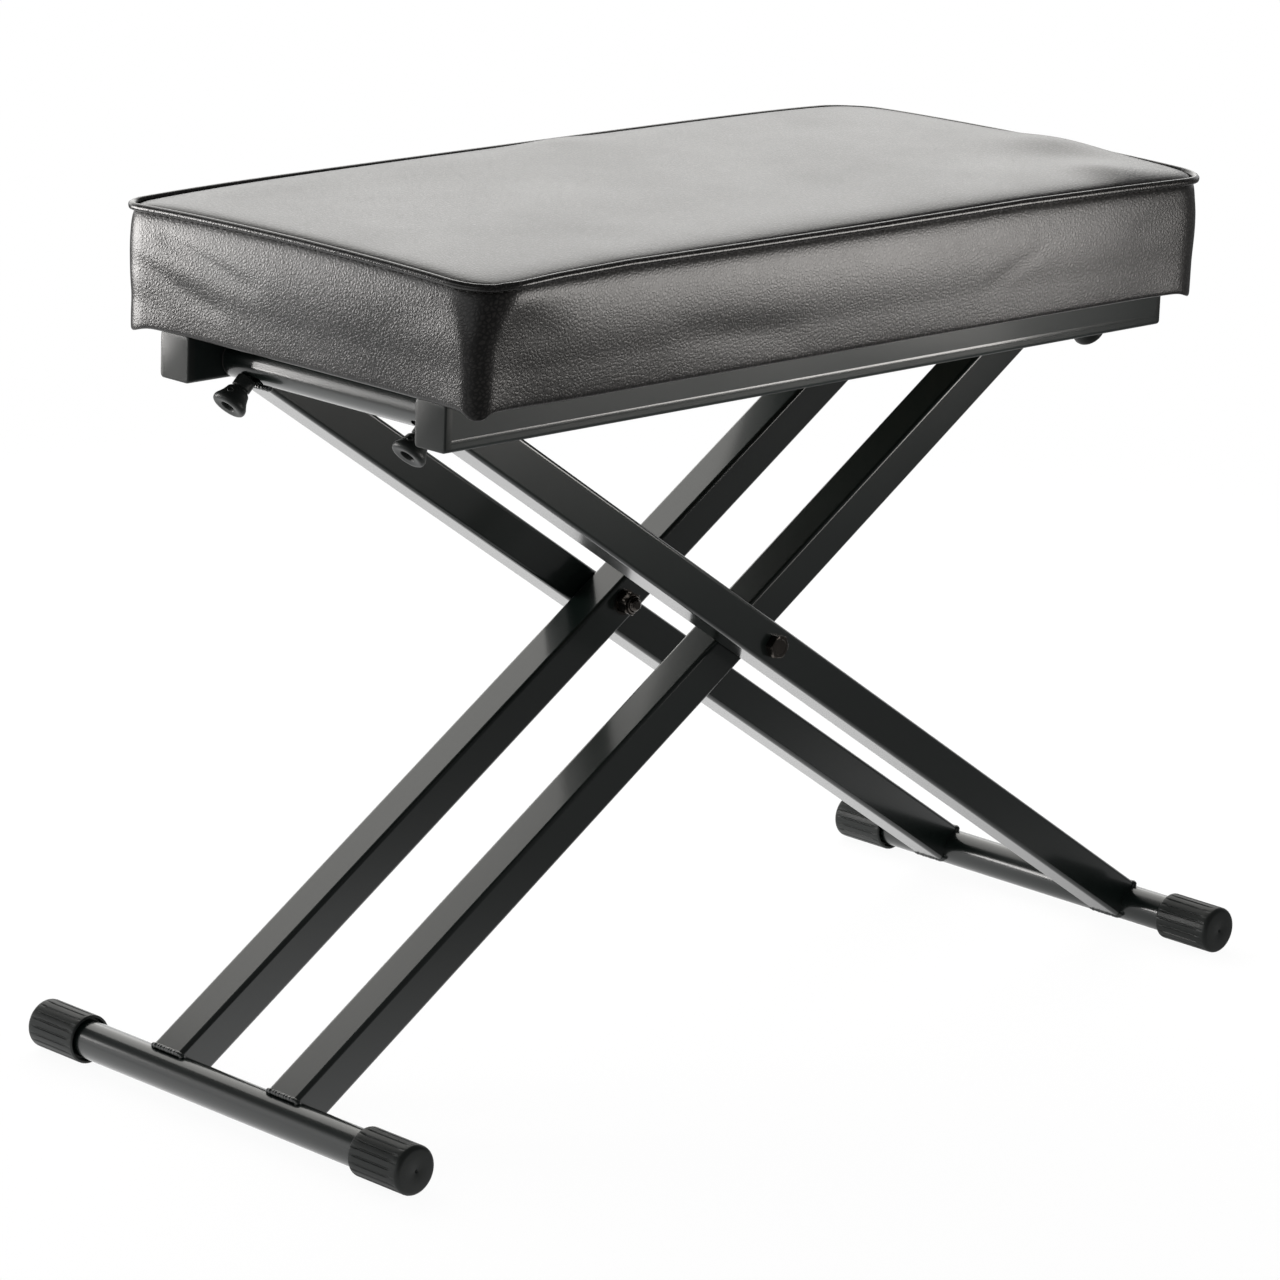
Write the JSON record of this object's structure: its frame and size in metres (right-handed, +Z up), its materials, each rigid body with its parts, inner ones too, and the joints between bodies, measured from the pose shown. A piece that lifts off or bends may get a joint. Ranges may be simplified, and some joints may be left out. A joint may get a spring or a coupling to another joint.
{
  "type": "folding keyboard bench",
  "caption": "Folding crossed-leg keyboard bench with a piped leatherette cushion, seat rails, spring lock pins that set its height, and ribbed foot caps.",
  "frame": {"origin": "on the floor, under the centre of the bench", "axes": "+X along the seat towards the outer legs' feet, +Y across the seat towards the rear, +Z up"},
  "size_m": [0.7198, 0.3244, 0.5114],
  "materials": {
    "leatherette": "pebble-grained black leatherette, satin",
    "piping": "smooth glossy black piping",
    "foam": "upholstery foam",
    "plywood": "raw plywood",
    "frame_paint": "satin black powder coat",
    "black_plastic": "moulded black plastic, satin",
    "zinc_steel": "zinc-plated steel",
    "black_bolt": "blackened steel, semi-gloss",
    "nylon": "black nylon"
  },
  "bodies": {
    "seat": {"seat_board": "plywood", "seat_foam": "foam", "seat_side_band": "leatherette", "seat_top_panel": "leatherette", "seat_piping": "piping", "cover_staples": "zinc_steel", "rail_bolts": "zinc_steel", "t_nuts": "zinc_steel", "front_rail": "frame_paint", "front_rail_left_plug": "black_plastic", "front_rail_right_plug": "black_plastic", "rear_rail": "frame_paint", "rear_rail_left_plug": "black_plastic", "rear_rail_right_plug": "black_plastic"},
    "outer_legs": {"outer_top_tube": "frame_paint", "outer_foot_tube": "frame_paint", "outer_tube_bushes": "black_plastic", "outer_spring_stops": "zinc_steel", "outer_front_leg": "frame_paint", "outer_front_foot_cap": "black_plastic", "outer_rear_leg": "frame_paint", "outer_rear_foot_cap": "black_plastic", "pivot_bolts": "black_bolt", "pivot_nuts": "black_bolt", "pivot_washers": "black_bolt", "pivot_spacers": "nylon"},
    "inner_legs": {"inner_top_tube": "frame_paint", "inner_foot_tube": "frame_paint", "inner_tube_bushes": "black_plastic", "inner_spring_stops": "zinc_steel", "inner_front_leg": "frame_paint", "inner_front_foot_cap": "black_plastic", "inner_rear_leg": "frame_paint", "inner_rear_foot_cap": "black_plastic"},
    "outer_front_lock": {"outer_front_lock_pin": "zinc_steel", "outer_front_knob_stud": "zinc_steel", "outer_front_lock_knob": "black_plastic", "outer_front_lock_spring": "zinc_steel"},
    "outer_rear_lock": {"outer_rear_lock_pin": "zinc_steel", "outer_rear_knob_stud": "zinc_steel", "outer_rear_lock_knob": "black_plastic", "outer_rear_lock_spring": "zinc_steel"},
    "inner_front_lock": {"inner_front_lock_pin": "zinc_steel", "inner_front_knob_stud": "zinc_steel", "inner_front_lock_knob": "black_plastic", "inner_front_lock_spring": "zinc_steel"},
    "inner_rear_lock": {"inner_rear_lock_pin": "zinc_steel", "inner_rear_knob_stud": "zinc_steel", "inner_rear_lock_knob": "black_plastic", "inner_rear_lock_spring": "zinc_steel"}
  },
  "joints": [
    {"name": "seat_hinge", "type": "hinge", "parent": "seat", "child": "outer_legs", "pos_m": [-0.26393, 0, 0.41789], "axis": [0, -1, 0], "range_deg": [-6, 27.5]},
    {"name": "leg_pivot", "type": "hinge", "parent": "outer_legs", "child": "inner_legs", "pos_m": [0, 0, 0.2432], "axis": [0, 1, 0], "range_deg": [-12, 55]},
    {"name": "outer_front_lock_slide", "type": "slide", "parent": "outer_legs", "child": "outer_front_lock", "axis": [0, 1, 0], "range_m": [0, 0.01], "stiffness_N_per_m": 400, "springref_m": -0.012, "deforming": ["outer_front_lock_spring"]},
    {"name": "outer_rear_lock_slide", "type": "slide", "parent": "outer_legs", "child": "outer_rear_lock", "axis": [0, -1, 0], "range_m": [0, 0.01], "stiffness_N_per_m": 400, "springref_m": -0.012, "deforming": ["outer_rear_lock_spring"]},
    {"name": "inner_front_lock_slide", "type": "slide", "parent": "inner_legs", "child": "inner_front_lock", "axis": [0, 1, 0], "range_m": [0, 0.01], "stiffness_N_per_m": 400, "springref_m": -0.012, "deforming": ["inner_front_lock_spring"]},
    {"name": "inner_rear_lock_slide", "type": "slide", "parent": "inner_legs", "child": "inner_rear_lock", "axis": [0, -1, 0], "range_m": [0, 0.01], "stiffness_N_per_m": 400, "springref_m": -0.012, "deforming": ["inner_rear_lock_spring"]}
  ],
  "couplings": [
    {"joint": "leg_pivot", "follows": "seat_hinge", "ratio": 2}
  ]
}
